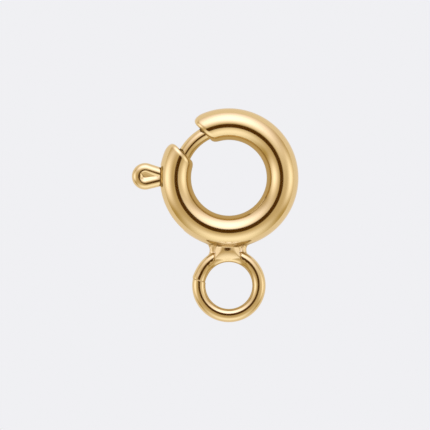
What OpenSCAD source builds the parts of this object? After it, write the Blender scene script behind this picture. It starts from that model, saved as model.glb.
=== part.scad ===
// Spring ring clasp: a bent tube with a mouth, a sprung latch wire with a looped trigger, and a soldered end ring.
// Millimetres. The origin is the middle of the ring, +Z is the ring's axis, +Y points away from the end ring.

/* [Ring tube] */
// Width across the ring, outside
ring_w = 6; // [5.5:0.1:7]
// Diameter of the tube
tube_d = 1.37; // [1.3:0.01:1.45]
// Wall of the tube
tube_wall = 0.19; // [0.16:0.01:0.2]

/* [Mouth] */
// Direction in which the mouth opens, counted from +X
mouth_at = 135.1; // [128:0.1:140]
// Width of the mouth, measured across the middle of the tube
mouth_w = 1.23; // [1.05:0.01:1.4]
// Lean of each cut face, which makes the mouth wider outside
mouth_lean = 1; // [0:1:8]

/* [Latch wire] */
// Diameter of the wire that closes the mouth
latch_d = 0.6; // [0.52:0.01:0.62]
// Clearance between the latch wire and the inner wall of the tube
latch_gap = 0.03; // [0.02:0.01:0.05]
// How far the latch reaches into the tube beyond the mouth
latch_bite = 0.3; // [0.2:0.02:0.4]
// Rounding of the latch's tip
tip_round = 0.12; // [0.08:0.01:0.2]
// Length of the tail behind the trigger, which the spring pushes
tail_l = 0.48; // [0.42:0.02:0.7]

/* [Trigger] */
// Direction of the trigger at rest, counted from +X
trigger_at = 179; // [176:0.5:184]
// How far the trigger stands out of the ring
trigger_out = 1.185; // [1.1:0.01:1.4]
// Diameter of the wire in the trigger's loop
loop_d = 0.55; // [0.48:0.01:0.58]
// Width of the hollow in the trigger's loop
loop_hole = 0.05; // [0.04:0.01:0.12]
// Lean of the loop's legs towards each other
leg_lean = 13.6; // [10:0.2:16]
// Thickness of the web that closes the loop's hollow
web_t = 0.16; // [0.1:0.02:0.24]
// Thickness of the flat tang that passes through the slot
tang_t = 0.28; // [0.22:0.01:0.34]
// Clearance between the trigger and the tube, outside it and in its slot
slot_gap = 0.03; // [0.02:0.01:0.05]

/* [End ring] */
// Width of the hole in the end ring
end_hole_d = 2.02; // [1.8:0.02:2.4]
// Diameter of the end ring's wire
end_wire_d = 0.575; // [0.5:0.005:0.65]
// Direction of the cut in the end ring, counted from +X
end_cut_at = 170.4; // [150:0.2:200]
// Width of the cut in the end ring
end_cut_w = 0.03; // [0.02:0.01:0.12]

/* [Solder joint] */
// Gap between the ring and the end ring, filled with solder
solder_gap = 0.055; // [0.02:0.005:0.1]
// Radius of the joint's hollow sides, seen from above
solder_side_r = 0.29; // [0.22:0.01:0.36]
// Radius of the hollows above and below the joint
solder_face_r = 0.35; // [0.25:0.01:0.4]
// How far the solder's faces lie below the crest of the end ring's wire
solder_sink = 0.03; // [0.02:0.01:0.08]

/* [Return spring] */
// Diameter of the spring's wire
spring_wire_d = 0.11; // [0.09:0.01:0.13]
// Turns of the spring
spring_turns = 14; // [11:1:16]
// Clearance between the spring and the tube, and at each of its ends
spring_gap = 0.04; // [0.03:0.01:0.06]
// Where the inner wall that holds the spring begins, counted from +X
stop_at = 330; // [322:1:336]
// Thickness of the inner wall
stop_t = 0.3; // [0.2:0.02:0.5]

/* [Hidden] */
$fn = 96;
gold = "goldenrod";
steel = "lightsteelblue";
// how far a cutter runs past what it cuts
past = 0.2;
// how far a hollow's edge bites into what it meets, so that no faces only touch
bite = 0.01;
// how far the base of the latch's tip sits inside its wire
tip_seat = 0.05;
// share of its width that a leg of the trigger sinks into the latch wire
sink_share = 0.36;

// the tube
tube_r = tube_d / 2;
ring_out_r = ring_w / 2;
ring_r = ring_out_r - tube_r;
bore_r = tube_r - tube_wall;
stop_angle = arc_deg(stop_t, ring_r);

// the mouth, in a frame whose u axis points out through the middle of it
mouth_u = sqrt(pow(ring_r, 2) - pow(mouth_w / 2, 2));
mouth_base = mouth_w / 2 - mouth_u * tan(mouth_lean);

// the latch wire lies against the inner wall of the tube
latch_r = latch_d / 2;
latch_ring_r = ring_r - (bore_r - latch_r - latch_gap);
face_angle = mouth_angle(latch_ring_r);
tip_at = mouth_at - face_angle - arc_deg(latch_bite, latch_ring_r);
tip_angle = arc_deg(tip_round, latch_ring_r);
tail_at = trigger_at + arc_deg(tail_l, latch_ring_r);
// the latch draws back until its tip is level with the mouth's lower face
travel = mouth_at + face_angle - tip_at;

// the trigger, in a frame whose u axis points out along it
loop_wire_r = loop_d / 2;
loop_r = loop_wire_r + loop_hole / 2;
loop_u = ring_out_r + trigger_out - loop_r - loop_wire_r;
legs_meet_u = loop_u - loop_r / sin(leg_lean);
leg_sink = sink_share * loop_d;
leg_end_u = latch_ring_r + latch_r - leg_sink;
leg_l = (loop_u - loop_r * sin(leg_lean) - leg_end_u) / cos(leg_lean);
neck_v = (ring_out_r - legs_meet_u) * tan(leg_lean) + loop_wire_r / cos(leg_lean);
neck_angle = asin(neck_v / ring_out_r) + arc_deg(slot_gap, ring_out_r);
slot_h = tang_t + 2 * slot_gap;

// the end ring
end_wire_r = end_wire_d / 2;
end_r = end_hole_d / 2 + end_wire_r;
end_out_r = end_r + end_wire_r;
end_y = ring_out_r + solder_gap + end_out_r;

// the circles that hollow the solder's sides touch the ring and the end ring
side_from_ring = ring_out_r + solder_side_r - bite;
side_from_end = end_out_r + solder_side_r - bite;
side_y = (pow(end_y, 2) + pow(side_from_ring, 2) - pow(side_from_end, 2)) / (2 * end_y);
side_x = sqrt(pow(side_from_ring, 2) - pow(side_y, 2));
// span of the solder round the ring, wider than its outline
solder_angle = 3 * atan(side_x / side_y);
solder_z = end_wire_r - solder_sink;
face_z = solder_z + solder_face_r - bite;
face_r = ring_r + sqrt(pow(tube_r + solder_face_r - bite, 2) - pow(face_z, 2));

// the spring
coil_r = bore_r - spring_gap - spring_wire_d / 2;
coil_end_gap = arc_deg(spring_wire_d / 2 + spring_gap, ring_r);
coil_from = tail_at + coil_end_gap;
coil_to = stop_at - coil_end_gap;
coil_steps = 14;
coil_sides = 6;

// Degrees that an arc of the given length spans at radius r
function arc_deg(length, r) = length / r * 180 / PI;

// Half width of the mouth at distance u from the middle of the ring
function mouth_half(u) = mouth_base + u * tan(mouth_lean);

// Half angle of the mouth at radius r
function mouth_angle(r) =
    let (t = tan(mouth_lean), k = 1 + t * t)
    let (u = (sqrt(k * r * r - pow(mouth_base, 2)) - mouth_base * t) / k)
    atan2(mouth_half(u), u);

// A round bar bent to an arc about the Z axis
module bent_bar(arc_r, bar_r, from, span) {
    rotate_extrude(angle = span, start = from) translate([arc_r, 0]) circle(r = bar_r);
}

// The prism that the saw takes out of the tube
module mouth_cut() {
    u_in = (ring_r - tube_r) / 2;
    u_out = ring_out_r + past;
    rotate([0, 0, mouth_at]) translate([0, 0, -tube_d])
        linear_extrude(height = 2 * tube_d)
            polygon([[u_in, -mouth_half(u_in)], [u_out, -mouth_half(u_out)],
                     [u_out, mouth_half(u_out)], [u_in, mouth_half(u_in)]]);
}

// The slot on the outside of the tube in which the trigger runs
module trigger_slot() {
    rotate_extrude(angle = travel + 2 * neck_angle, start = trigger_at - neck_angle)
        translate([ring_r, -slot_h / 2]) square([tube_r + past, slot_h]);
}

// The end ring, whose ends meet at a narrow cut
module end_ring() {
    translate([0, -end_y, 0]) difference() {
        rotate_extrude() translate([end_r, 0]) circle(r = end_wire_r);
        rotate([0, 0, end_cut_at]) translate([end_r - end_wire_d, -end_cut_w / 2, -end_wire_d])
            cube([2 * end_wire_d, end_cut_w, 2 * end_wire_d]);
    }
}

// Outline of the solder from above, with hollow sides
module solder_outline() {
    difference() {
        polygon([[0, 0], [-side_x, -side_y], [0, -end_y], [side_x, -side_y]]);
        for (side = [-1, 1]) translate([side * side_x, -side_y]) circle(r = solder_side_r);
        translate([0, -end_y]) circle(r = end_r);
    }
}

// Section of the solder across the joint, hollowed where it climbs the tube
module solder_section() {
    difference() {
        union() {
            translate([ring_r, -solder_z]) square([end_y - ring_r, 2 * solder_z]);
            polygon([[ring_r, 0], [face_r, -face_z], [face_r, face_z]]);
        }
        for (side = [-1, 1]) translate([face_r, side * face_z]) circle(r = solder_face_r);
    }
}

module solder_joint() {
    intersection() {
        translate([0, 0, -tube_d]) linear_extrude(height = 2 * tube_d) solder_outline();
        rotate_extrude(angle = solder_angle, start = 270 - solder_angle / 2) solder_section();
    }
}

// The tube, the end ring and the solder between them are one piece of metal
module ring_body() {
    color(gold) difference() {
        union() {
            rotate_extrude() translate([ring_r, 0]) circle(r = tube_r);
            end_ring();
            solder_joint();
        }
        bent_bar(ring_r, bore_r, stop_at + stop_angle, 360 - stop_angle);
        mouth_cut();
        trigger_slot();
    }
}

// The rounded end of the latch wire, pointing along +Z, with a base that sits inside the wire
module wire_tip() {
    tip_r = latch_r - bite;
    rotate_extrude() {
        translate([0, -tip_seat]) square([tip_r, tip_seat]);
        square([tip_r - tip_round, tip_round]);
        intersection() {
            translate([tip_r - tip_round, 0]) circle(r = tip_round);
            square([tip_r, tip_round]);
        }
    }
}

// One leg of the loop, from its head to the latch wire
module loop_leg(side) {
    translate([loop_u, 0, 0]) rotate([0, 0, 180 + side * leg_lean])
        translate([0, -side * loop_r, 0]) rotate([0, 90, 0]) cylinder(r = loop_wire_r, h = leg_l);
}

// The loop that the thumb draws back, with a thin web across its hollow
module trigger_loop() {
    bend = 90 + leg_lean;
    translate([loop_u, 0, 0]) bent_bar(loop_r, loop_wire_r, -bend, 2 * bend);
    for (side = [-1, 1]) loop_leg(side);
    tangent_u = loop_u - loop_r * sin(leg_lean);
    tangent_v = loop_r * cos(leg_lean);
    translate([0, 0, -web_t / 2]) linear_extrude(height = web_t) {
        translate([loop_u, 0]) circle(r = loop_r);
        polygon([[tangent_u, tangent_v], [legs_meet_u, 0], [tangent_u, -tangent_v]]);
    }
}

// The loop with its legs hollowed to fit round the tube, and pressed flat where they pass through the slot
module trigger() {
    slab_w = 2 * (ring_out_r + trigger_out);
    difference() {
        trigger_loop();
        rotate_extrude() translate([ring_r, 0]) circle(r = tube_r + slot_gap);
    }
    intersection() {
        trigger_loop();
        cube([slab_w, slab_w, tang_t], center = true);
    }
}

// The latch wire and its trigger
module latch_trigger() {
    color(gold) union() {
        bent_bar(latch_ring_r, latch_r, tip_at + tip_angle, tail_at - tip_at - tip_angle);
        rotate([0, 0, tip_at + tip_angle]) translate([latch_ring_r, 0, 0]) rotate([90, 0, 0]) wire_tip();
        rotate([0, 0, trigger_at]) trigger();
    }
}

// Unit vector that points out of the coil, at angle turn round it and angle at round the ring
function coil_out(turn, at) = [cos(turn) * cos(at), cos(turn) * sin(at), sin(turn)];

// A point on the middle of the spring's wire, at share f of its length
function coil_point(f) =
    let (at = coil_from + f * (coil_to - coil_from))
    ring_r * [cos(at), sin(at), 0] + coil_r * coil_out(f * spring_turns * 360, at);

// The corners of the wire's section at share f of its length
function coil_section(f) =
    let (step = 1 / (spring_turns * coil_steps * 10))
    let (along = coil_point(f + step) - coil_point(f - step))
    let (out = coil_out(f * spring_turns * 360, coil_from + f * (coil_to - coil_from)))
    let (side = cross(along, out) / norm(cross(along, out)))
    [for (i = [0:coil_sides - 1])
        let (a = i * 360 / coil_sides)
        coil_point(f) + spring_wire_d / 2 * (cos(a) * out + sin(a) * side)];

// The coil in the tube, from the tail of the latch wire to the inner wall
module return_spring() {
    rings = spring_turns * coil_steps;
    last = rings * coil_sides;
    points = [for (i = [0:rings]) each coil_section(i / rings)];
    walls = [for (i = [0:rings - 1]) for (j = [0:coil_sides - 1])
        let (k = (j + 1) % coil_sides)
        [i * coil_sides + j, i * coil_sides + k, (i + 1) * coil_sides + k, (i + 1) * coil_sides + j]];
    caps = [[for (j = [0:coil_sides - 1]) coil_sides - 1 - j], [for (j = [0:coil_sides - 1]) last + j]];
    color(steel) polyhedron(points = points, faces = concat(walls, caps));
}

ring_body();
latch_trigger();
return_spring();
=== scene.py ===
# A polished gold spring ring clasp, lying flat on a pale studio table and seen from straight above.
import math

import bmesh
import bpy
import numpy as np
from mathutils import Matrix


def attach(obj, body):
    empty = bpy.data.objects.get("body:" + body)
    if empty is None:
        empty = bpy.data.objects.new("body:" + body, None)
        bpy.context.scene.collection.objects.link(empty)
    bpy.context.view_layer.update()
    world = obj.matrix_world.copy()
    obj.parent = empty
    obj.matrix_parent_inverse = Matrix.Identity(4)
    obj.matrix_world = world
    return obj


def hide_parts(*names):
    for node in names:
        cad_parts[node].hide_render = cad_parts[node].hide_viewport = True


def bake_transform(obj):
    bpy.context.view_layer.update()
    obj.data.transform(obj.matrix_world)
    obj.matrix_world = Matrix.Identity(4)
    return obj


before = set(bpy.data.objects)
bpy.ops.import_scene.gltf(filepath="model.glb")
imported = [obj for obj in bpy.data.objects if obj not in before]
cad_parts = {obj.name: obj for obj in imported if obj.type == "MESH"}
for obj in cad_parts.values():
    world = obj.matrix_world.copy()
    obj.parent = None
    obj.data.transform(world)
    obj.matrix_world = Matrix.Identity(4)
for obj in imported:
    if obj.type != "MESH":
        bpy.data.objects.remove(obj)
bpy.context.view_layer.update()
print("frame loaded:", ", ".join(sorted(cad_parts)))

# The pieces are modelled in millimetres, because some tools stop at a tenth of a unit, and shrunk last.
millimetre = 0.001


# small helpers, used like the menu entries of the same names

def deselectAll():
    bpy.ops.object.select_all(action="DESELECT")


def makeActive(obj):
    deselectAll()
    obj.select_set(True)
    bpy.context.view_layer.objects.active = obj


def bakePlace(obj):
    makeActive(obj)
    bpy.ops.object.transform_apply(location=True, rotation=True, scale=True)


def editMode(obj, select="NONE"):
    makeActive(obj)
    bpy.ops.object.mode_set(mode="EDIT")
    if select == "ALL":
        bpy.ops.mesh.select_all(action="SELECT")
    else:
        bpy.ops.mesh.select_all(action="DESELECT")


def objectMode():
    bpy.ops.object.mode_set(mode="OBJECT")


def selectEdges(obj, wanted):
    # picks the edges that pass a test
    bpy.ops.mesh.select_all(action="DESELECT")
    bpy.ops.mesh.select_mode(type="EDGE")
    mesh = bmesh.from_edit_mesh(obj.data)
    for edge in mesh.edges:
        edge.select_set(wanted(edge))
    bmesh.update_edit_mesh(obj.data)


def selectFaces(obj, wanted):
    bpy.ops.mesh.select_all(action="DESELECT")
    bpy.ops.mesh.select_mode(type="FACE")
    mesh = bmesh.from_edit_mesh(obj.data)
    for face in mesh.faces:
        face.select_set(wanted(face))
    bmesh.update_edit_mesh(obj.data)


def applyModifier(obj, name, kind, **values):
    makeActive(obj)
    modifier = obj.modifiers.new(name, kind)
    for key, value in values.items():
        setattr(modifier, key, value)
    bpy.ops.object.modifier_apply(modifier=name)


def joinInto(obj, others):
    makeActive(obj)
    for other in others:
        other.select_set(True)
    bpy.ops.object.join()
    return bpy.context.object


def extrude(way=(0, 0, 0)):
    # draws what is selected out that way, or doubles it in place
    bpy.ops.mesh.extrude_region_move(TRANSFORM_OT_translate={"value": way})


def makeDisc(sides, radius, reach, turn, middle=(0, 0, 0)):
    # a disc across a bent tube or wire, at that turn round the middle of its bend
    bpy.ops.mesh.primitive_circle_add(
        vertices=sides, radius=radius, fill_type="NGON",
        location=(reach, 0, 0), rotation=(math.radians(90), 0, 0))
    disc = bpy.context.object
    bakePlace(disc)
    disc.rotation_euler = (0, 0, turn)
    disc.location = middle
    bakePlace(disc)
    return disc


def readPoints(obj):
    points = np.empty(len(obj.data.vertices) * 3)
    obj.data.vertices.foreach_get("co", points)
    return points.reshape(-1, 3)


def writePoints(obj, points):
    obj.data.vertices.foreach_set("co", points.astype(np.float32).ravel())
    obj.data.update()


def finishPiece(obj, name, body, node, material, sharpFrom=32):
    # shrinks a piece to metres, turns its faces outwards and hangs it on its body
    editMode(obj, select="ALL")
    bpy.ops.mesh.remove_doubles(threshold=1e-5)
    bpy.ops.mesh.normals_make_consistent(inside=False)
    objectMode()
    obj.scale = (millimetre, millimetre, millimetre)
    bakePlace(obj)
    bpy.ops.object.shade_smooth_by_angle(angle=math.radians(sharpFrom))
    obj.name = name
    obj.data.name = name
    obj.data.materials.clear()
    obj.data.materials.append(material)
    if body:
        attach(obj, body)
    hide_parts(node)
    print(name, "done:", len(obj.data.polygons), "faces")


# camera, straight above like the photograph's

studioCamera = {
    "pictureWidth": 18.53,  # what the picture spans on the table
    "middle": (-0.599, -1.603),
    "height": 420,
    "sensor": 36,
    "clip": (0.01, 10),  # nearest and farthest that it sees, in metres
}


def makeCamera():
    c = studioCamera
    deselectAll()
    place = [v * millimetre for v in (*c["middle"], c["height"])]
    bpy.ops.object.camera_add(location=place, rotation=(0, 0, 0))
    camera = bpy.context.object
    camera.name = "studioCamera"
    camera.data.sensor_width = c["sensor"]
    camera.data.lens = c["sensor"] * c["height"] / c["pictureWidth"]
    camera.data.clip_start, camera.data.clip_end = c["clip"]
    bpy.context.scene.camera = camera


makeCamera()
print("camera set")


# materials

def newMaterial(name):
    material = bpy.data.materials.new(name)
    material.use_nodes = True
    material.node_tree.nodes.clear()
    return material


def addNode(tree, kind, place, inputs=None, **settings):
    node = tree.nodes.new(kind)
    node.location = place
    for key, value in settings.items():
        setattr(node, key, value)
    for key, value in (inputs or {}).items():
        node.inputs[key].default_value = value
    return node


def addSoftEdge(tree, value, start, end, place):
    # 0 before start and 1 past end, with a soft step between them
    step = addNode(tree, "ShaderNodeMapRange", place, {"From Min": start, "From Max": end},
                   interpolation_type="SMOOTHSTEP")
    tree.links.new(value, step.inputs["Value"])
    return step.outputs["Result"]


# what each metal sets on its wear, with the starting values of the group
wearInputs = {
    "Hairline size": 9000.0,
    "Hairline stretch": 0.06,
    "Wave size": 900.0,
    "Ding size": 2600.0,
    "Ding amount": 0.3,
}


def makeFineWear():
    # hairlines from the polishing wheel, a slow waviness and a few small dings
    group = bpy.data.node_groups.new("fineWear", "ShaderNodeTree")
    for name, start in wearInputs.items():
        group.interface.new_socket(name, in_out="INPUT", socket_type="NodeSocketFloat").default_value = start
    for name in ("Hairlines", "Waves", "Dings", "Height"):
        group.interface.new_socket(name, in_out="OUTPUT", socket_type="NodeSocketFloat")
    into = addNode(group, "NodeGroupInput", (-1100, 0))
    out = addNode(group, "NodeGroupOutput", (700, 0))
    place = addNode(group, "ShaderNodeTexCoord", (-1100, 260))
    link = group.links.new

    squeeze = addNode(group, "ShaderNodeCombineXYZ", (-900, -60), {"X": 1.0, "Z": 1.0})
    link(into.outputs["Hairline stretch"], squeeze.inputs["Y"])
    combed = addNode(group, "ShaderNodeVectorMath", (-700, 120), operation="MULTIPLY")
    link(place.outputs["Object"], combed.inputs[0])
    link(squeeze.outputs["Vector"], combed.inputs[1])
    lines = addNode(group, "ShaderNodeTexNoise", (-480, 160), {"Detail": 3.0, "Roughness": 0.6})
    link(combed.outputs["Vector"], lines.inputs["Vector"])
    link(into.outputs["Hairline size"], lines.inputs["Scale"])
    lineMask = addNode(group, "ShaderNodeMapRange", (-240, 160), {"From Min": 0.42, "From Max": 0.7})
    link(lines.outputs["Fac"], lineMask.inputs["Value"])
    link(lineMask.outputs["Result"], out.inputs["Hairlines"])

    waves = addNode(group, "ShaderNodeTexNoise", (-480, -120), {"Detail": 1.5, "Roughness": 0.45})
    link(place.outputs["Object"], waves.inputs["Vector"])
    link(into.outputs["Wave size"], waves.inputs["Scale"])
    link(waves.outputs["Fac"], out.inputs["Waves"])

    cells = addNode(group, "ShaderNodeTexVoronoi", (-480, -380), {"Randomness": 1.0})
    link(place.outputs["Object"], cells.inputs["Vector"])
    link(into.outputs["Ding size"], cells.inputs["Scale"])
    pits = addNode(group, "ShaderNodeMapRange", (-240, -380), {"From Min": 0.16, "From Max": 0.04})
    link(cells.outputs["Distance"], pits.inputs["Value"])
    rare = addNode(group, "ShaderNodeSeparateColor", (-240, -600))
    link(cells.outputs["Color"], rare.inputs["Color"])
    chosen = addNode(group, "ShaderNodeMath", (-20, -560), operation="LESS_THAN")
    link(rare.outputs["Red"], chosen.inputs[0])
    link(into.outputs["Ding amount"], chosen.inputs[1])
    dings = addNode(group, "ShaderNodeMath", (180, -420), operation="MULTIPLY")
    link(pits.outputs["Result"], dings.inputs[0])
    link(chosen.outputs["Value"], dings.inputs[1])
    link(dings.outputs["Value"], out.inputs["Dings"])

    fine = addNode(group, "ShaderNodeMath", (180, 120), {1: 0.06}, operation="MULTIPLY")
    link(lines.outputs["Fac"], fine.inputs[0])
    wavy = addNode(group, "ShaderNodeMath", (360, 60), operation="ADD")
    link(fine.outputs["Value"], wavy.inputs[0])
    link(waves.outputs["Fac"], wavy.inputs[1])
    pitted = addNode(group, "ShaderNodeMath", (520, -80), operation="SUBTRACT")
    link(wavy.outputs["Value"], pitted.inputs[0])
    link(dings.outputs["Value"], pitted.inputs[1])
    link(pitted.outputs["Value"], out.inputs["Height"])
    return group


fineWear = makeFineWear()


def metalMaterial(name, values):
    # a polished metal: two close tones that drift over the piece, hairlines in its gloss and a little relief
    material = newMaterial(name)
    tree = material.node_tree
    link = tree.links.new
    out = addNode(tree, "ShaderNodeOutputMaterial", (700, 0))
    metal = addNode(tree, "ShaderNodeBsdfPrincipled", (400, 0), {"Metallic": 1.0, "IOR": 1.5})
    link(metal.outputs["BSDF"], out.inputs["Surface"])
    wear = addNode(tree, "ShaderNodeGroup", (-500, 0), node_tree=fineWear)
    for key in wearInputs:
        wear.inputs[key].default_value = values[key]

    tone = addNode(tree, "ShaderNodeMix", (-120, 220), data_type="RGBA")
    tone.inputs[6].default_value = (*values["tone"], 1)
    tone.inputs[7].default_value = (*values["second tone"], 1)
    link(wear.outputs["Waves"], tone.inputs[0])
    link(tone.outputs[2], metal.inputs["Base Color"])

    gloss = addNode(tree, "ShaderNodeMapRange", (-120, -40),
                    {"To Min": values["roughness"], "To Max": values["scuffed roughness"]})
    link(wear.outputs["Hairlines"], gloss.inputs["Value"])
    link(gloss.outputs["Result"], metal.inputs["Roughness"])

    relief = addNode(tree, "ShaderNodeBump", (120, -260),
                     {"Strength": values["relief"], "Distance": values["relief depth"]})
    link(wear.outputs["Height"], relief.inputs["Height"])
    link(relief.outputs["Normal"], metal.inputs["Normal"])
    return material


goldFinish = {
    "tone": (0.885, 0.645, 0.3),
    "second tone": (0.9, 0.67, 0.325),
    "roughness": 0.09,
    "scuffed roughness": 0.13,
    "Hairline size": 26000.0,
    "Hairline stretch": 0.05,
    "Wave size": 700.0,
    "Ding size": 2600.0,
    "Ding amount": 0.05,
    "relief": 0.1,
    "relief depth": 0.000004,
}
solderFinish = dict(goldFinish, **{
    "tone": (0.87, 0.62, 0.29),
    "second tone": (0.9, 0.68, 0.36),
    "roughness": 0.12,
    "scuffed roughness": 0.17,
    "Wave size": 2200.0,
    "Ding amount": 0.1,
    "relief": 0.12,
})
# painted shade for the inside of the tube
boreShade = {
    "tone": (0.3, 0.19, 0.07),
    "reach": (0.53, 0.57),  # how far from the tube's middle line the tone begins to fade and is gone
}
steelFinish = dict(goldFinish, **{
    "tone": (0.56, 0.55, 0.53),
    "second tone": (0.62, 0.61, 0.6),
    "roughness": 0.24,
    "scuffed roughness": 0.36,
    "relief": 0.6,
})
gold = metalMaterial("polishedGold", goldFinish)
tubeGold = metalMaterial("polishedTubeGold", goldFinish)
solder = metalMaterial("goldSolder", solderFinish)
steel = metalMaterial("springSteel", steelFinish)
print("materials made")


# the bent tube

ringTube = {
    "outRadius": 3.0,
    "tubeRadius": 0.685,
    "wall": 0.19,
    "mouthAt": 135.1,  # counted from +X
    "mouthWidth": 1.23,
    "mouthLean": 1.0,
    "lipRound": (0.15, 0.2),  # across the wall and along the tube
    "outerCorner": 0.34,  # how far the corner on the outside of the ring is rounded, seen from above
    "innerLipRound": 0.03,
    "slotFrom": 169.92,
    "slotTo": 229.16,
    "slotBevel": 0.02,
    "slotEdgeAbove": 0.1,
    "slotEdgeTurn": 0.5,  # edges that turn by more degrees than this run along the slot
    "slotSharpFrom": 40,  # edges bent by more degrees than this are bevelled
    "skinWithin": 0.001,
    "innerWallFrom": 330.0,
    "innerWallTo": 337.42,
    "sides": 100,
    "slotSides": (4, 6),  # how many of them are half the slot's width, on the skin and in the bore
    "rowStep": 1.2,
    "lipRows": (13, 7, 3, 6),  # rows behind a lip, round it, round its inner edge and in the bore
}
ringTube["ringRadius"] = ringTube["outRadius"] - ringTube["tubeRadius"]
ringTube["boreRadius"] = ringTube["tubeRadius"] - ringTube["wall"]


def cutOffset():
    # how far from the ring's middle the plane of a leaning cut face passes
    t = ringTube
    lean = math.radians(t["mouthLean"])
    middleDistance = math.sqrt(t["ringRadius"] ** 2 - (t["mouthWidth"] / 2) ** 2)
    base = t["mouthWidth"] / 2 - middleDistance * math.tan(lean)
    return base * math.cos(lean)


def faceTurn(depth, rho):
    # degrees from the middle of the mouth to a plane that lies depth behind its cut face
    return ringTube["mouthLean"] + math.degrees(math.asin((depth + cutOffset()) / rho))


def depthOf(turn):
    # how far behind the cut face the middle of the tube is, at that many degrees from the mouth's middle
    pastLean = math.radians(turn) - math.radians(ringTube["mouthLean"])
    return ringTube["ringRadius"] * math.sin(pastLean) - cutOffset()


def placeRow(obj, side, radius, depth, fade):
    # the selected ring of points goes to its place near a lip, leaning like the cut, or straight at fade 1
    t = ringTube
    corner = t["outerCorner"]
    mesh = bmesh.from_edit_mesh(obj.data)
    for point in (v for v in mesh.verts if v.select):
        rho = math.hypot(point.co.x, point.co.y)
        section = math.atan2(point.co.z, rho - t["ringRadius"])
        rho = t["ringRadius"] + radius * math.cos(section)
        out = min(max(rho - t["outRadius"] + corner, 0), corner)
        ownDepth = depth + (corner - math.sqrt(corner ** 2 - out ** 2)) * (1 - fade)
        middleTurn = faceTurn(ownDepth, t["ringRadius"])
        turn = middleTurn + (faceTurn(ownDepth, rho) - middleTurn) * (1 - fade) ** 2
        turn = math.radians(t["mouthAt"] + side * turn)
        point.co = (rho * math.cos(turn), rho * math.sin(turn), radius * math.sin(section))
    bmesh.update_edit_mesh(obj.data)


def lipRows(straightTurn):
    # the rows from the straight skin over the lip to the bore: radius, depth behind the cut, fade
    t = ringTube
    deepest = depthOf(straightTurn)
    across, along = t["lipRound"]
    behind, outerRound, innerRound, bore = t["lipRows"]
    rows = []
    for k in range(behind - 1, -1, -1):
        share = k / behind
        rows.append((t["tubeRadius"], along + (deepest - along) * share, share))
    for k in range(1, outerRound + 1):
        a = math.radians(90 * k / outerRound)
        rows.append((t["tubeRadius"] - across * (1 - math.cos(a)), along * (1 - math.sin(a)), 0))
    for k in range(innerRound + 1):
        a = math.radians(90 * k / innerRound)
        rows.append((t["boreRadius"] + t["innerLipRound"] * (1 - math.sin(a)),
                     t["innerLipRound"] * (1 - math.cos(a)), 0))
    for k in range(1, bore + 1):
        share = k / bore
        rows.append((t["boreRadius"], t["innerLipRound"] + (deepest - t["innerLipRound"]) * share, share))
    return rows


def spinTo(degrees, step, middle=(0, 0, 0)):
    # without a window a spin turns clockwise for a positive angle
    steps = max(1, round(abs(degrees) / step))
    bpy.ops.mesh.spin(steps=steps, angle=-math.radians(degrees), center=middle, axis=(0, 0, 1))


def runOverLip(obj, side, rows):
    for row in rows:
        extrude()
        placeRow(obj, side, *row)


def makeRingTube():
    t = ringTube
    straightTurn = t["slotFrom"] - t["mouthAt"]
    deselectAll()
    # the bore begins as a disc against the inner wall
    tube = makeDisc(t["sides"], t["boreRadius"], t["ringRadius"], math.radians(t["innerWallFrom"]))
    editMode(tube, select="ALL")
    bpy.ops.mesh.select_mode(type="EDGE")
    selectEdges(tube, lambda edge: edge.is_boundary)
    spinTo(t["slotTo"] - t["innerWallFrom"], t["rowStep"])
    spinTo(t["slotFrom"] - t["slotTo"], t["rowStep"])
    outwards = lipRows(straightTurn)
    inwards = outwards[::-1][1:] + [(t["tubeRadius"], depthOf(straightTurn), 1)]
    runOverLip(tube, 1, inwards)
    spinTo(t["slotTo"] - t["slotFrom"], t["rowStep"])
    upperStraight = t["mouthAt"] - straightTurn + 360
    spinTo(upperStraight - t["slotTo"], t["rowStep"])
    runOverLip(tube, -1, outwards)
    spinTo(t["innerWallTo"] - upperStraight, t["rowStep"])
    bpy.ops.mesh.edge_face_add()

    # the slot: the faces between its edges go, and walls join the skin to the bore
    middle = t["tubeRadius"] - t["wall"] / 2

    def sectionOf(co):
        rho = math.hypot(co.x, co.y)
        return math.hypot(rho - t["ringRadius"], co.z), math.degrees(math.atan2(co.z, rho - t["ringRadius"]))

    def turnOf(co):
        return math.degrees(math.atan2(co.y, co.x)) % 360

    def inSlot(face):
        radius, section = sectionOf(face.calc_center_median())
        sides = t["slotSides"][0 if radius > middle else 1]
        turn = turnOf(face.calc_center_median())
        return abs(section) < sides * 360 / t["sides"] and t["slotFrom"] < turn < t["slotTo"]

    selectFaces(tube, inSlot)
    bpy.ops.mesh.delete(type="FACE")
    for side in (1, -1):
        def alongSlot(edge):
            first, second = (v.co for v in edge.verts)
            lengthwise = abs(turnOf(first) - turnOf(second)) > t["slotEdgeTurn"]
            return edge.is_boundary and first.z * side > t["slotEdgeAbove"] and lengthwise
        selectEdges(tube, alongSlot)
        bpy.ops.mesh.bridge_edge_loops()
    selectEdges(tube, lambda edge: edge.is_boundary)
    bpy.ops.mesh.fill_holes(sides=0)
    bpy.ops.mesh.select_mode(type="EDGE")

    def slotEdge(edge):
        first, second = (v.co for v in edge.verts)
        onSkin = all(abs(sectionOf(co)[0] - t["tubeRadius"]) < t["skinWithin"] for co in (first, second))
        sharp = edge.calc_face_angle(0) > math.radians(t["slotSharpFrom"])
        return onSkin and len(edge.link_faces) == 2 and sharp

    selectEdges(tube, slotEdge)
    bpy.ops.mesh.bevel(offset=t["slotBevel"], segments=2, clamp_overlap=True)
    objectMode()
    finishPiece(tube, "ringTube", "ring", "ring_body", tubeGold)


makeRingTube()


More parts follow.
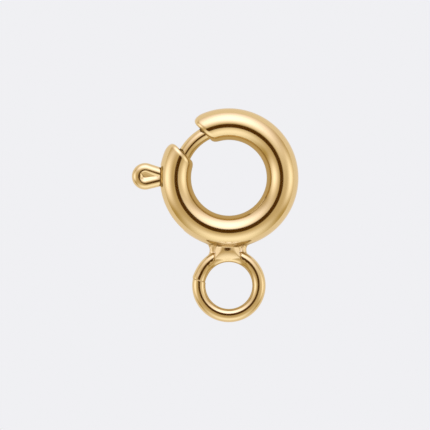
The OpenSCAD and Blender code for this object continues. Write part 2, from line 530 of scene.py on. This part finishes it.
def paintBoreShade():
    # painted shade: the inside of the tube, where little light reaches, is given a dark brown tone
    t = ringTube
    tree = tubeGold.node_tree
    link = tree.links.new
    metal = next(node for node in tree.nodes if node.type == "BSDF_PRINCIPLED")
    polished = metal.inputs["Base Color"].links[0].from_socket
    place = addNode(tree, "ShaderNodeTexCoord", (-1100, 620))
    parts = addNode(tree, "ShaderNodeSeparateXYZ", (-920, 460))
    link(place.outputs["Object"], parts.inputs["Vector"])
    flat = addNode(tree, "ShaderNodeVectorMath", (-920, 700), operation="MULTIPLY")
    flat.inputs[1].default_value = (1, 1, 0)
    link(place.outputs["Object"], flat.inputs[0])
    rho = addNode(tree, "ShaderNodeVectorMath", (-740, 700), operation="LENGTH")
    link(flat.outputs["Vector"], rho.inputs[0])
    ringRadius = t["ringRadius"] * millimetre
    off = addNode(tree, "ShaderNodeMath", (-560, 700), {1: ringRadius}, operation="SUBTRACT")
    link(rho.outputs["Value"], off.inputs[0])
    across = addNode(tree, "ShaderNodeCombineXYZ", (-380, 620))
    link(off.outputs["Value"], across.inputs["X"])
    link(parts.outputs["Z"], across.inputs["Y"])
    radius = addNode(tree, "ShaderNodeVectorMath", (-200, 620), operation="LENGTH")
    link(across.outputs["Vector"], radius.inputs[0])
    start, end = (v * millimetre for v in boreShade["reach"])
    # painted shade share: whole in the bore, gone on the outer skin
    bore = addSoftEdge(tree, radius.outputs["Value"], end, start, (-20, 620))
    tone = addNode(tree, "ShaderNodeMix", (180, 420), data_type="RGBA")
    tone.inputs[7].default_value = (*boreShade["tone"], 1)
    link(bore, tone.inputs[0])
    link(polished, tone.inputs[6])
    link(tone.outputs[2], metal.inputs["Base Color"])


paintBoreShade()


# the sculpted parts: a rough form is remeshed finely, and its points settle on the true surface

def roundBarField(beyond, offAxis, radius, rounding):
    # distance to a round bar's end: beyond is how far past the end's plane a point lies
    across = offAxis - (radius - rounding)
    along = beyond + rounding
    outside = np.hypot(np.maximum(across, 0), np.maximum(along, 0))
    return outside + np.minimum(np.maximum(across, along), 0) - rounding


def ringField(points, middleY, ringRadius, barRadius):
    away = np.hypot(points[:, 0], points[:, 1] - middleY) - ringRadius
    return np.hypot(away, points[:, 2]) - barRadius


def blended(first, second, reach):
    # the lower of two distances, with a soft hollow of that reach where they are alike
    share = np.maximum(reach - np.abs(first - second), 0) / reach
    return np.minimum(first, second) - share * share * reach / 4


def roundedOff(first, second, reach):
    # the higher of two distances, with a soft edge of that reach where they are alike
    return -blended(-first, -second, reach)


def softStep(value, start, end):
    share = np.clip((value - start) / (end - start), 0, 1)
    return share * share * (3 - 2 * share)


def slopeOf(field, points):
    step = 0.0005
    slope = np.empty_like(points)
    for axis in range(3):
        shift = np.zeros(3)
        shift[axis] = step
        slope[:, axis] = (field(points + shift) - field(points - shift)) / (2 * step)
    return slope


def settle(obj, field, rounds=5, deepest=-1.0, flattest=0.05):
    # points move along the field's slope until it is zero, apart from those that lie deep inside
    points = readPoints(obj)
    loose = field(points) > deepest
    moving = points[loose]
    for _ in range(rounds):
        slope = slopeOf(field, moving)
        moving -= slope * (field(moving) / np.maximum((slope ** 2).sum(1), flattest))[:, None]
    points[loose] = moving
    writePoints(obj, points)


# the end ring: one wire bent round until its ends meet at a leaning cut

endRing = {
    "middleY": -4.64,
    "ringRadius": 1.2975,
    "wireRadius": 0.2875,
    "pressed": 2.3,  # 2 is a round wire, more is flatter on top
    "filedFrom": 0.52,  # beside the joint, from here outwards the wire regains its height
    "filedTo": 0.6,
    "filedInnerTo": 0.95,
    "filedInnerAt": (-0.02, -0.12),  # how far inside the wire's middle line the inner end takes over
    "filedHeight": 0.55,
    "cutAt": 170.4,  # counted from +X
    "cutWidth": 0.006,
    "cutLean": 9.7,
    "endRound": 0.025,
    "endRows": 5,
    "endStep": (-0.025, -0.002, 0.02),  # how the upper end stands off the lower one
    "endStepReach": 0.4,
    "sides": 56,
    "rowStep": 1.5,
}


def pressedRadius(first, second, power):
    return (np.abs(first) ** power + np.abs(second) ** power) ** (1 / power)


def placeBarRow(obj, bar, turn, radius):
    # the selected ring of points goes across the bent bar at that turn, leaning like the cut
    lean = math.tan(math.radians(bar["cutLean"])) / bar["ringRadius"]
    mesh = bmesh.from_edit_mesh(obj.data)
    for point in (v for v in mesh.verts if v.select):
        rho = math.hypot(point.co.x, point.co.y - bar["middleY"])
        section = math.atan2(point.co.z, rho - bar["ringRadius"])
        rho = bar["ringRadius"] + radius * math.cos(section)
        a = math.radians(turn) - lean * radius * math.cos(section)
        point.co = (rho * math.cos(a), rho * math.sin(a) + bar["middleY"], radius * math.sin(section))
    bmesh.update_edit_mesh(obj.data)


def makeEndRing():
    r = endRing
    degreesPerMillimetre = math.degrees(1 / r["ringRadius"])
    lowerEnd = r["cutAt"] + r["cutWidth"] / 2 * degreesPerMillimetre
    upperEnd = r["cutAt"] - r["cutWidth"] / 2 * degreesPerMillimetre + 360
    flatRadius = r["wireRadius"] - r["endRound"]
    middle = (0, r["middleY"], 0)
    roundRows = []
    for k in range(1, r["endRows"] + 1):
        a = math.radians(90 * k / r["endRows"])
        depth = r["endRound"] * (1 - math.cos(a))
        roundRows.append((depth, r["wireRadius"] - r["endRound"] * (1 - math.sin(a))))
    deselectAll()
    ring = makeDisc(r["sides"], flatRadius, r["ringRadius"], math.radians(lowerEnd), middle)
    editMode(ring, select="ALL")
    selectEdges(ring, lambda edge: edge.is_boundary)
    placeBarRow(ring, r, lowerEnd, flatRadius)
    for depth, radius in roundRows:
        extrude()
        placeBarRow(ring, r, lowerEnd + depth * degreesPerMillimetre, radius)
    straight = r["endRound"] * degreesPerMillimetre
    spinTo(upperEnd - lowerEnd - 2 * straight, r["rowStep"], middle)
    for depth, radius in roundRows[-2::-1] + [(0, flatRadius)]:
        extrude()
        placeBarRow(ring, r, upperEnd - depth * degreesPerMillimetre, radius)
    bpy.ops.mesh.edge_face_add()
    bpy.ops.transform.translate(
        value=r["endStep"], use_proportional_edit=True, use_proportional_connected=True,
        proportional_edit_falloff="SMOOTH", proportional_size=r["endStepReach"])
    objectMode()
    # the wire was pressed a little flat
    points = readPoints(ring)
    away = points[:, :2] - (0, r["middleY"])
    rho = np.hypot(away[:, 0], away[:, 1])
    off = rho - r["ringRadius"]
    swell = np.hypot(off, points[:, 2]) / np.maximum(pressedRadius(off, points[:, 2], r["pressed"]), 1e-6)
    points[:, :2] += away * ((r["ringRadius"] + off * swell) / rho - 1)[:, None]
    points[:, 2] *= swell * wireThinning(points[:, 0], points[:, 1])
    writePoints(ring, points)
    finishPiece(ring, "endRing", "ring", "ring_body", gold)


# the solder: a saddle of metal that climbs the tube and covers the wire

solderJoint = {
    "blockSize": (1.98, 1.1, 1.0),
    "blockMiddle": (-0.05, -3.12, 0),
    "roughVoxel": 0.035,
    "voxel": 0.015,
    "deepest": -0.02,  # points that lie deeper inside aren't moved
    "cutterSides": (160, 48),
    "seatInTube": 0.1,  # how deep under the skins its hidden sides lie
    "seatInWire": 0.2,
    "sides": ((1.167, -3.119, 0.33), (1.025, -3.1, 0.265)),  # the hollows left and right: middle, radius
    "sideEdge": 0.13,
    "ridgeX": -0.06,
    "collar": 0.03,  # how thick the solder is on the tube above the shelf
    "collarHalfWidth": 0.42,
    "collarFrom": (2.5, 2.95),
    "shelfHeight": 0.28,  # the shelf at the tube's foot
    "shelfFrom": 0.25,  # how far outside the wire's middle line it begins
    "rampCurve": 0.75,  # how fast the ramp from the shelf down to the wire steepens
    "fall": 0.42,  # how the shelf and the ramp fall away from the ridge
    "fallBend": 0.16,
    "facetAt": (0.26, -3.0, 0.253),  # a point of the flat facets beside the ramp
    "facetSlope": (-0.5, -0.13),
    "facetEdge": 0.02,
    "floorAt": (0.52, 0.13),
    "floorSlope": 0.2,
    "floorFrom": (0.05, 0.2),
    "floorEdge": 0.02,
    "innerEdge": 0.16,
    "tubeReach": 0.035,
    "wireReach": 0.015,
    "tuck": 0.03,
    "thinnest": 0.0012,  # solder thinner than this dives under the skins
    "settledWithin": 0.01,
}


def tubeSkin(points):
    return ringField(points, 0, ringTube["ringRadius"], ringTube["tubeRadius"])


def wireThinning(x, y):
    # the wire was filed thinner where the solder covers it
    r = endRing
    off = np.hypot(x, y - r["middleY"]) - r["ringRadius"]
    end = r["filedTo"] + (r["filedInnerTo"] - r["filedTo"]) * softStep(off, *r["filedInnerAt"])
    filed = softStep(np.abs(x - solderJoint["ridgeX"]), end, r["filedFrom"]) * (y > r["middleY"])
    return 1 - (1 - r["filedHeight"]) * filed


def wireSkin(points):
    x, y, z = points.T
    away = np.hypot(x, y - endRing["middleY"]) - endRing["ringRadius"]
    return pressedRadius(away, z / wireThinning(x, y), endRing["pressed"]) - endRing["wireRadius"]


def solderField(points):
    s = solderJoint
    x, y, z = points.T
    wide = np.abs(x - s["ridgeX"])
    off = np.hypot(x, y - endRing["middleY"]) - endRing["ringRadius"]
    fall = np.where(wide < s["fallBend"], wide ** 2, s["fallBend"] * (2 * wide - s["fallBend"]))
    top = s["shelfHeight"] - s["rampCurve"] * np.maximum(s["shelfFrom"] - off, 0) ** 2 - s["fall"] * fall
    facetX, facetY, facetZ = s["facetAt"]
    facet = facetZ + s["facetSlope"][0] * (wide - facetX) + s["facetSlope"][1] * (y - facetY)
    top = blended(top, facet, s["facetEdge"])
    floor = s["floorAt"][1] - s["floorSlope"] * np.maximum(wide - s["floorAt"][0], 0)
    top = roundedOff(top, floor * softStep(off, *s["floorFrom"]), s["floorEdge"])

    # seen from above it fills the corner between tube and wire up to the round hollows
    sideX, sideY, sideRadius = (np.where(x < 0, left, right) for left, right in zip(*s["sides"]))
    hollow = sideRadius - np.hypot(np.abs(x) - sideX, y - sideY)
    pastTube = (np.abs(x) * -sideY + y * sideX) / np.hypot(sideX, sideY)
    upFromRing = sideY - endRing["middleY"]
    pastWire = (np.abs(x) * upFromRing - (y - endRing["middleY"]) * sideX) / np.hypot(sideX, upFromRing)
    plan = np.maximum(np.maximum(hollow, pastTube), pastWire)
    saddle = roundedOff(np.abs(z) - top, plan, s["sideEdge"])
    saddle = roundedOff(saddle, -off - endRing["wireRadius"], s["innerEdge"])
    collar = s["collar"] * softStep(np.hypot(x, y), *s["collarFrom"])
    collar = collar * np.exp(-(x / s["collarHalfWidth"]) ** 4)
    tube = tubeSkin(points) - np.where(y < 0, collar, 0)
    return blended(blended(tube, saddle, s["tubeReach"]), wireSkin(points), s["wireReach"])


def skinField(points):
    return np.minimum(tubeSkin(points), wireSkin(points))


def cutAway(obj, majorRadius, minorRadius, middleY):
    deselectAll()
    around, across = solderJoint["cutterSides"]
    bpy.ops.mesh.primitive_torus_add(
        major_radius=majorRadius, minor_radius=minorRadius,
        major_segments=around, minor_segments=across, location=(0, middleY, 0))
    cutter = bpy.context.object
    bakePlace(cutter)
    applyModifier(obj, "seat", "BOOLEAN", operation="DIFFERENCE", object=cutter)
    bpy.data.objects.remove(cutter)


def makeSolderJoint():
    s = solderJoint
    deselectAll()
    bpy.ops.mesh.primitive_cube_add(size=1, location=s["blockMiddle"], scale=s["blockSize"])
    block = bpy.context.object
    bakePlace(block)
    cutAway(block, ringTube["ringRadius"], ringTube["tubeRadius"] - s["seatInTube"], 0)
    cutAway(block, endRing["ringRadius"], endRing["wireRadius"] - s["seatInWire"], endRing["middleY"])
    for voxel in (s["roughVoxel"], s["voxel"]):
        applyModifier(block, "clay", "REMESH", mode="VOXEL", voxel_size=voxel)
        settle(block, solderField, deepest=s["deepest"])
    # where the saddle has run out into the skins, it dives under them
    points = readPoints(block)
    level = solderField(points)
    runOut = (np.abs(level) < s["settledWithin"]) & (skinField(points) - level < s["thinnest"])
    slope = slopeOf(solderField, points[runOut])
    points[runOut] -= slope / np.linalg.norm(slope, axis=1)[:, None] * s["tuck"]
    writePoints(block, points)
    finishPiece(block, "solderJoint", "ring", "ring_body", solder, sharpFrom=35)


makeEndRing()
makeSolderJoint()


# the latch wire with its looped trigger, one bent wire

latch = {
    "wireRadius": 0.3,
    "ringRadius": 2.15,
    "tipAt": 110.57,  # counted from +X
    "tipRound": 0.12,
    "tailAt": 191.79,
    "triggerAt": 179.0,
    "loopWireRadius": 0.275,
    "loopRadius": 0.3,
    "loopMiddle": 3.61,
    "legLean": 13.6,
    "leans": (14.4, 17.0),  # of the finished lower and upper leg
    "pressed": 2.3,  # like the end ring's
    "legLength": 1.38,
    "legModelled": 0.56,
    "valley": 0.06,  # how softly the two legs run together
    "valleyGrows": (0.1, 0.3, 0.001),  # where along the head it begins, its length, its least share
    "neckValley": 0.1,  # how softly the tang runs into the wire in the tube
    "webThickness": 0.16,
    "webSides": 24,
    "webBlend": 0.02,
    "pocketWall": (0.1, 0.245, 0.5),  # distance from the upper leg's middle line, height there, slope
    "pocketFloor": 0.215,
    "pocketTilt": 0.16,
    "pocketRamp": (0.17, 0.231, 0.3),  # distance from the lower leg's middle line, height there, slope
    "pocketRise": 1.0,  # slope nearer to those lines, which leaves the legs' crests whole
    "pocketSoft": 0.003,  # how softly its floor, ramp and wall meet
    "pocketEdge": 0.02,
    "tubeClearance": 0.005,  # between the loop's legs and the tube
    "legEdge": 0.03,
    "tangThickness": 0.28,  # of the flat part that passes through the slot
    "tangEdge": 0.02,
    "tangPlan": ((2.2, 0.27), (3.2, 0.47)),  # how far out along the trigger, and half width
    "voxel": 0.014,
    "remeshings": 2,
    "sides": 32,
    "rowStep": 2,
    "headStep": 6,
}


def latchField(points):
    w = latch
    rho = np.hypot(points[:, 0], points[:, 1])
    turn = np.degrees(np.arctan2(points[:, 1], points[:, 0])) % 360
    beyond = np.radians(np.maximum(w["tipAt"] - turn, turn - w["tailAt"])) * w["ringRadius"]
    offLine = np.hypot(rho - w["ringRadius"], points[:, 2])
    arc = roundBarField(beyond, offLine, w["wireRadius"], w["tipRound"])

    a = math.radians(w["triggerAt"])
    along = points[:, 0] * math.cos(a) + points[:, 1] * math.sin(a)
    across = points[:, 1] * math.cos(a) - points[:, 0] * math.sin(a)
    headX = along - w["loopMiddle"]

    def fromLine(side, lean):
        # distance seen from above to the middle line of one half of the loop
        y = across * side
        legStart = (-w["loopRadius"] * math.sin(lean), w["loopRadius"] * math.cos(lean))
        legWay = (-math.cos(lean), -math.sin(lean))
        onArc = np.arctan2(y, headX)
        arcShare = (onArc >= 0) & (onArc <= math.pi / 2 + lean)
        fromArc = np.abs(np.hypot(headX, y) - w["loopRadius"])
        fromTop = np.hypot(headX - w["loopRadius"], y)
        fromArc = np.where(arcShare, fromArc, fromTop)
        run = (headX - legStart[0]) * legWay[0] + (y - legStart[1]) * legWay[1]
        run = np.clip(run, 0, w["legLength"])
        fromLeg = np.hypot(headX - legStart[0] - run * legWay[0], y - legStart[1] - run * legWay[1])
        return np.minimum(fromArc, fromLeg)

    lowerLean, upperLean = (math.radians(v) for v in w["leans"])
    lower, upper = fromLine(1, lowerLean), fromLine(-1, upperLean)
    high = np.abs(points[:, 2])
    start, length, least = w["valleyGrows"]
    soft = np.clip((start - headX) / length, least, 1) * w["valley"]
    halves = [pressedRadius(half, high, w["pressed"]) for half in (lower, upper)]
    loop = blended(*halves, soft) - w["loopWireRadius"]
    # the head's pocket has a tilted floor, a steep wall up to the upper leg and a ramp up to the lower leg
    rampAt, rampHeight, rampSlope = w["pocketRamp"]
    wallAt, wallHeight, wallSlope = w["pocketWall"]
    floor = w["pocketFloor"] - w["pocketTilt"] * across
    ramp = rampHeight - np.where(lower < rampAt, w["pocketRise"], rampSlope) * (lower - rampAt)
    wall = wallHeight - np.where(upper < wallAt, w["pocketRise"], wallSlope) * (upper - wallAt)
    lean = np.where(across > 0, lowerLean, upperLean)
    pastHead = np.arctan2(np.abs(across), headX) > math.pi / 2 + lean
    betweenLegs = np.cos(lean) * np.abs(across) - np.sin(lean) * headX
    inside = np.where(pastHead, betweenLegs, np.hypot(headX, across)) - w["loopRadius"]
    web = np.maximum(inside, high - np.maximum(floor, np.minimum(ramp, rampHeight)))
    loop = blended(loop, web, w["webBlend"])
    pocket = -blended(blended(-floor, -ramp, w["pocketSoft"]), -wall, w["pocketSoft"])
    loop = roundedOff(loop, -np.maximum(pocket - high, inside), w["pocketEdge"])
    inTube = np.hypot(rho - ringTube["ringRadius"], points[:, 2])
    clear = ringTube["tubeRadius"] + w["tubeClearance"] - inTube
    legs = roundedOff(loop, clear, w["legEdge"])
    tang = roundedOff(loop, high - w["tangThickness"] / 2, w["tangEdge"])
    return np.minimum(blended(arc, tang, w["neckValley"]), legs)


def makeLatch():
    w = latch
    lean = math.radians(w["legLean"])
    deselectAll()
    wire = makeDisc(w["sides"], w["wireRadius"], w["ringRadius"], math.radians(w["tipAt"]))
    editMode(wire, select="ALL")
    spinTo(w["tailAt"] - w["tipAt"], w["rowStep"])
    objectMode()

    # the loop is bent round its head from the end of one leg to the end of the other
    deselectAll()
    head = (w["loopMiddle"], 0, 0)
    loop = makeDisc(w["sides"], w["loopWireRadius"], w["loopRadius"], math.radians(90) + lean, head)
    legX, legY = (v * w["legModelled"] for v in (math.cos(lean), math.sin(lean)))
    editMode(loop, select="ALL")
    bpy.ops.transform.translate(value=(-legX, -legY, 0))
    extrude((legX, legY, 0))
    spinTo(-180 - 2 * w["legLean"], w["headStep"], head)
    extrude((-legX, legY, 0))
    objectMode()
    bpy.ops.mesh.primitive_cylinder_add(vertices=w["webSides"], radius=w["loopRadius"],
                                        depth=w["webThickness"], location=head)
    web = bpy.context.object
    bakePlace(web)
    # the flat tang is a block that widens outwards
    (nearX, nearY), (farX, farY) = w["tangPlan"]
    bpy.ops.mesh.primitive_cube_add(size=1, location=((nearX + farX) / 2, 0, 0),
                                    scale=(farX - nearX, 2 * nearY, w["tangThickness"]))
    tang = bpy.context.object
    bakePlace(tang)
    editMode(tang)
    selectFaces(tang, lambda face: face.normal.x > 0.5)
    bpy.ops.transform.resize(value=(1, farY / nearY, 1), center_override=(farX, 0, 0))
    objectMode()
    loop = joinInto(loop, [web, tang])
    loop.rotation_euler = (0, 0, math.radians(w["triggerAt"]))
    bakePlace(loop)
    wire = joinInto(wire, [loop])
    editMode(wire, select="ALL")
    bpy.ops.mesh.normals_make_consistent(inside=False)
    objectMode()
    for _ in range(w["remeshings"]):
        applyModifier(wire, "clay", "REMESH", mode="VOXEL", voxel_size=w["voxel"])
        settle(wire, latchField)
    finishPiece(wire, "latchTrigger", "latch", "latch_trigger", gold, sharpFrom=60)


makeLatch()


# the coil spring in the tube, which shortens as the latch is drawn back

spring = {
    "wireRadius": 0.055,
    "wireRoundness": 3,
    "coilRadius": 0.4,
    "turns": 14,
    "from": 194.14,
    "to": 327.65,
    "pointsPerTurn": 24,
    "held": 12.0,  # degrees at each end that keep to the latch and to the inner wall
}


def makeSpring():
    s = spring
    curve = bpy.data.curves.new("returnSpring", "CURVE")
    curve.dimensions = "3D"
    count = s["turns"] * s["pointsPerTurn"] + 1
    line = curve.splines.new("POLY")
    line.points.add(count - 1)
    for i in range(count):
        share = i / (count - 1)
        turn = math.radians(s["from"] + share * (s["to"] - s["from"]))
        coil = math.tau * share * s["turns"]
        rho = ringTube["ringRadius"] + s["coilRadius"] * math.cos(coil)
        line.points[i].co = (rho * math.cos(turn), rho * math.sin(turn), s["coilRadius"] * math.sin(coil), 1)
    curve.bevel_depth = s["wireRadius"]
    curve.bevel_resolution = s["wireRoundness"]
    curve.use_fill_caps = True
    coil = bpy.data.objects.new("returnSpring", curve)
    bpy.context.scene.collection.objects.link(coil)
    makeActive(coil)
    bpy.ops.object.convert(target="MESH")
    finishPiece(coil, "returnSpring", None, "return_spring", steel)
    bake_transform(coil)


makeSpring()


# the table and the light

studio = {
    "tableTone": (0.871, 0.871, 0.896),
    "tableSize": 400,
    "tableTop": -0.685,
    "tableMirrored": (0.82, 0.8, 0.82),
    "tablePaintedShade": (0.53, 0.44, 0.29),  # inside the rings, where gold shades the table and tints its light
    "tableAgain": (0.46, 0.46, 0.42),  # for light that has met gold twice
    "tentAgain": 0.55,  # how bright the tent is for such light
    "metTwice": (1.5, 2.5),  # the ray depths past which light is such, at the table and out at the tent
    "betweenTube": (0, 2.0, 3.0),  # middle Y, radius where that tone begins to fade, radius where it is gone
    "betweenWire": (-4.64, 1.1, 1.55),
    "betweenJoint": (-3.1, 0.9, 1.5),
    "wallTone": (0.57, 0.49, 0.35),
    "horizonTone": (0.41, 0.305, 0.07),
    "wallFade": (45, 75),  # degrees below the zenith
    "lensTone": (0.08, 0.034, 0.001),
    "lensMiddle": (0, -1.72, 18.3),
    "lensRadius": 4.52,
    "lensRim": 0.68,
    "lensSides": 96,
}
# each soft box: direction round the clasp, half width and soft side, soft top edge, soft lower edge, tone
softBoxes = [
    {"at": 90, "half": 81, "side": 81, "from": 0, "soft": 45, "to": 121, "fade": 70,
     "tone": (1.08, 1.27, 2.23)},
    {"at": 270, "half": 65, "side": 56, "from": 11, "soft": 50, "to": 123, "fade": 54,
     "tone": (0.64, 0.79, 1.14)},
    {"at": 0, "half": 40, "side": 39, "from": 26.5, "soft": 44, "to": 114, "fade": 64,
     "tone": (0.95, 1.12, 1.6)},
    {"at": 180, "half": 38, "side": 38, "from": 17, "soft": 51, "to": 109, "fade": 49,
     "tone": (0.92, 1.07, 1.59)},
    {"at": 50, "half": 100, "side": 90, "from": 4, "soft": 8, "to": 51, "fade": 24,
     "tone": (0.19, 0.24, 0.36)},
]


def addDistance(tree, value, middle, place):
    # how far a point is from an upright line through the middle
    x, y = place
    away = addNode(tree, "ShaderNodeVectorMath", (x, y), operation="SUBTRACT")
    away.inputs[1].default_value = [v * millimetre for v in middle]
    tree.links.new(value, away.inputs[0])
    flat = addNode(tree, "ShaderNodeVectorMath", (x + 180, y), operation="MULTIPLY")
    flat.inputs[1].default_value = (1, 1, 0)
    tree.links.new(away.outputs["Vector"], flat.inputs[0])
    length = addNode(tree, "ShaderNodeVectorMath", (x + 360, y), operation="LENGTH")
    tree.links.new(flat.outputs["Vector"], length.inputs[0])
    return length.outputs["Value"]


def makeTable():
    deselectAll()
    s = studio
    size = s["tableSize"] * millimetre
    bpy.ops.mesh.primitive_plane_add(size=size, location=(0, 0, s["tableTop"] * millimetre))
    table = bpy.context.object
    bakePlace(table)
    table.name = "paleTable"
    material = newMaterial("paleTable")
    tree = material.node_tree
    link = tree.links.new
    out = addNode(tree, "ShaderNodeOutputMaterial", (1100, 0))
    place = addNode(tree, "ShaderNodeTexCoord", (-1100, -200))
    colour = (*s["tableMirrored"], 1)
    # painted shade: as the metal mirrors it, the table turns darker and warmer inside the rings and round
    # the joint
    for i, key in enumerate(("betweenTube", "betweenWire", "betweenJoint")):
        middleY, start, end = s[key]
        y = -200 - 240 * i
        distance = addDistance(tree, place.outputs["Object"], (0, middleY, 0), (-900, y))
        between = addSoftEdge(tree, distance, end * millimetre, start * millimetre, (-300, y))
        tint = addNode(tree, "ShaderNodeMix", (-60 + 200 * i, -100), data_type="RGBA")
        tint.inputs[7].default_value = (*s["tablePaintedShade"], 1)
        link(between, tint.inputs[0])
        if i == 0:
            tint.inputs[6].default_value = colour
        else:
            link(colour, tint.inputs[6])
        colour = tint.outputs[2]
    ray = addNode(tree, "ShaderNodeLightPath", (-300, 560))
    again = addNode(tree, "ShaderNodeMath", (-60, 400), {1: s["metTwice"][0]}, operation="GREATER_THAN")
    link(ray.outputs["Ray Depth"], again.inputs[0])
    mirrored = addNode(tree, "ShaderNodeMix", (360, 260), data_type="RGBA")
    mirrored.inputs[7].default_value = (*s["tableAgain"], 1)
    link(again.outputs["Value"], mirrored.inputs[0])
    link(colour, mirrored.inputs[6])
    seen = addNode(tree, "ShaderNodeMix", (360, 60), data_type="RGBA")
    seen.inputs[7].default_value = (*s["tableTone"], 1)
    link(ray.outputs["Is Camera Ray"], seen.inputs[0])
    link(mirrored.outputs[2], seen.inputs[6])
    glow = addNode(tree, "ShaderNodeEmission", (580, 60))
    link(seen.outputs[2], glow.inputs["Color"])
    clear = addNode(tree, "ShaderNodeBsdfTransparent", (580, -100))
    under = addNode(tree, "ShaderNodeNewGeometry", (580, 340))
    oneSided = addNode(tree, "ShaderNodeMixShader", (840, 0))
    link(under.outputs["Backfacing"], oneSided.inputs["Fac"])
    link(glow.outputs["Emission"], oneSided.inputs[1])
    link(clear.outputs["BSDF"], oneSided.inputs[2])
    link(oneSided.outputs["Shader"], out.inputs["Surface"])
    table.data.materials.append(material)


def makeLens():
    # the camera's dark lens, which the metal mirrors, with a soft rim
    s = studio
    deselectAll()
    rim = s["lensRadius"] + s["lensRim"]
    bpy.ops.mesh.primitive_circle_add(vertices=s["lensSides"], radius=rim * millimetre, fill_type="NGON",
                                      location=[v * millimetre for v in s["lensMiddle"]])
    lens = bpy.context.object
    bakePlace(lens)
    lens.name = "mirroredLens"
    lens.visible_camera = False
    material = newMaterial("mirroredLens")
    tree = material.node_tree
    link = tree.links.new
    out = addNode(tree, "ShaderNodeOutputMaterial", (600, 0))
    place = addNode(tree, "ShaderNodeTexCoord", (-700, 0))
    distance = addDistance(tree, place.outputs["Object"], s["lensMiddle"], (-500, 0))
    inner = (s["lensRadius"] - s["lensRim"]) * millimetre
    dark = addSoftEdge(tree, distance, rim * millimetre, inner, (60, 200))
    glass = addNode(tree, "ShaderNodeEmission", (60, -60), {"Color": (*s["lensTone"], 1)})
    clear = addNode(tree, "ShaderNodeBsdfTransparent", (60, -200))
    soft = addNode(tree, "ShaderNodeMixShader", (340, 0))
    link(dark, soft.inputs["Fac"])
    link(clear.outputs["BSDF"], soft.inputs[1])
    link(glass.outputs["Emission"], soft.inputs[2])
    link(soft.outputs["Shader"], out.inputs["Surface"])
    lens.data.materials.append(material)


def makeStudioLight():
    # a pale tent with soft boxes
    world = bpy.data.worlds.new("lightTent")
    bpy.context.scene.world = world
    world.use_nodes = True
    tree = world.node_tree
    tree.nodes.clear()
    link = tree.links.new
    s = studio
    out = addNode(tree, "ShaderNodeOutputWorld", (2000, 0))
    place = addNode(tree, "ShaderNodeTexCoord", (-1400, 0))
    parts = addNode(tree, "ShaderNodeSeparateXYZ", (-1200, 0))
    link(place.outputs["Generated"], parts.inputs["Vector"])
    zenith = addNode(tree, "ShaderNodeMath", (-1000, -100), operation="ARCCOSINE")
    link(parts.outputs["Z"], zenith.inputs[0])
    flat = addNode(tree, "ShaderNodeVectorMath", (-1200, 240), operation="MULTIPLY")
    flat.inputs[1].default_value = (1, 1, 0)
    link(place.outputs["Generated"], flat.inputs[0])
    around = addNode(tree, "ShaderNodeVectorMath", (-1000, 240), operation="NORMALIZE")
    link(flat.outputs["Vector"], around.inputs[0])

    def times(first, second, spot):
        node = addNode(tree, "ShaderNodeMath", spot, operation="MULTIPLY")
        link(first, node.inputs[0])
        link(second, node.inputs[1])
        return node.outputs["Value"]

    # the tent's wall, darker towards the horizon
    fadeFrom, fadeTo = (math.radians(v) for v in s["wallFade"])
    low = addSoftEdge(tree, zenith.outputs["Value"], fadeFrom, fadeTo, (-700, 500))
    light = addNode(tree, "ShaderNodeMix", (-400, 500), data_type="RGBA")
    light.inputs[6].default_value = (*s["wallTone"], 1)
    light.inputs[7].default_value = (*s["horizonTone"], 1)
    link(low, light.inputs[0])
    colour = light.outputs[2]

    for i, box in enumerate(softBoxes):
        y = 200 - 320 * i
        heading = math.radians(box["at"])
        facing = addNode(tree, "ShaderNodeVectorMath", (-800, y), operation="DOT_PRODUCT")
        facing.inputs[1].default_value = (math.cos(heading), math.sin(heading), 0)
        link(around.outputs["Vector"], facing.inputs[0])
        off = addNode(tree, "ShaderNodeMath", (-620, y), operation="ARCCOSINE")
        link(facing.outputs["Value"], off.inputs[0])
        half, side, start, soft, end, fade = (
            math.radians(box[key]) for key in ("half", "side", "from", "soft", "to", "fade"))
        sideways = addSoftEdge(tree, off.outputs["Value"], half, half - side, (-440, y))
        top = addSoftEdge(tree, zenith.outputs["Value"], start, start + soft, (-440, y - 80))
        bottom = addSoftEdge(tree, zenith.outputs["Value"], end, end - fade, (-440, y - 160))
        share = times(times(sideways, top, (-220, y)), bottom, (-40, y))
        add = addNode(tree, "ShaderNodeMix", (200 + 160 * i, y), data_type="RGBA", blend_type="ADD")
        add.inputs[7].default_value = (*box["tone"], 1)
        link(share, add.inputs[0])
        link(colour, add.inputs[6])
        colour = add.outputs[2]

    # light that has met gold twice comes without the tent's own tint; out here the ray depth counts one more
    ray = addNode(tree, "ShaderNodeLightPath", (1050, 500))
    again = addNode(tree, "ShaderNodeMath", (1230, 500), {1: s["metTwice"][1]}, operation="GREATER_THAN")
    link(ray.outputs["Ray Depth"], again.inputs[0])
    grey = addNode(tree, "ShaderNodeRGBToBW", (1050, 160))
    link(colour, grey.inputs["Color"])
    weaker = addNode(tree, "ShaderNodeMath", (1230, 160), {1: s["tentAgain"]}, operation="MULTIPLY")
    link(grey.outputs["Val"], weaker.inputs[0])
    tent = addNode(tree, "ShaderNodeMix", (1400, 200), data_type="RGBA")
    link(again.outputs["Value"], tent.inputs[0])
    link(colour, tent.inputs[6])
    link(weaker.outputs["Value"], tent.inputs[7])
    mirrored = addNode(tree, "ShaderNodeBackground", (1600, 0))
    link(tent.outputs[2], mirrored.inputs["Color"])
    plain = addNode(tree, "ShaderNodeBackground", (1600, -160), {"Color": (*s["tableTone"], 1)})
    choose = addNode(tree, "ShaderNodeMixShader", (1800, 0))
    link(ray.outputs["Is Camera Ray"], choose.inputs["Fac"])
    link(mirrored.outputs["Background"], choose.inputs[1])
    link(plain.outputs["Background"], choose.inputs[2])
    link(choose.outputs["Shader"], out.inputs["Surface"])


makeTable()
makeLens()
makeStudioLight()
bpy.context.scene.view_settings.view_transform = "Standard"
bpy.context.scene.view_settings.look = "None"
print("studio made")
